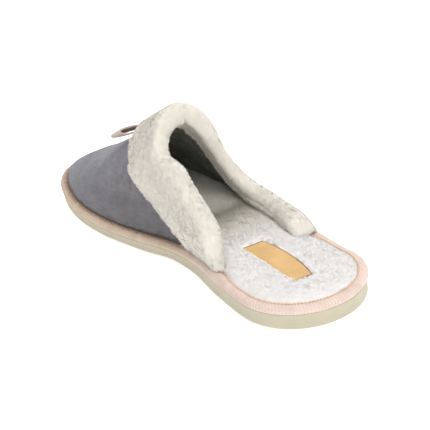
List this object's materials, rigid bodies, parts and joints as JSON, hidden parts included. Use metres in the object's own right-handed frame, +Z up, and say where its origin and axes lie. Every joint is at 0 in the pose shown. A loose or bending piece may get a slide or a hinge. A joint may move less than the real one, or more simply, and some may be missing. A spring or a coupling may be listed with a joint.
{
  "type": "house slipper",
  "caption": "Suede house slipper with an open heel, a plush cuff folded over the throat, a padded insole, a banded sole and a small bow on the instep.",
  "frame": {"origin": "on the floor plane, under the centre of the outline seen from above", "axes": "+Y from the heel to the toe, +X to the wearer's right (the outer side of this right slipper), +Z up from the floor"},
  "size_m": [0.0888, 0.2514, 0.0779],
  "materials": {
    "grey_suede": "matt suede nap",
    "white_plush": "short pile",
    "beige_band": "matt",
    "cream_rubber": "satin",
    "tan_patch": "smooth",
    "bow_ribbon": "satin"
  },
  "bodies": {
    "root": {"vamp": "grey_suede", "outsole": "cream_rubber", "midsole": "beige_band", "insole": "white_plush", "plush_collar": "white_plush", "insole_label": "tan_patch", "bow_loop_medial": "bow_ribbon", "bow_loop_lateral": "bow_ribbon", "bow_knot": "bow_ribbon"}
  },
  "joints": []
}
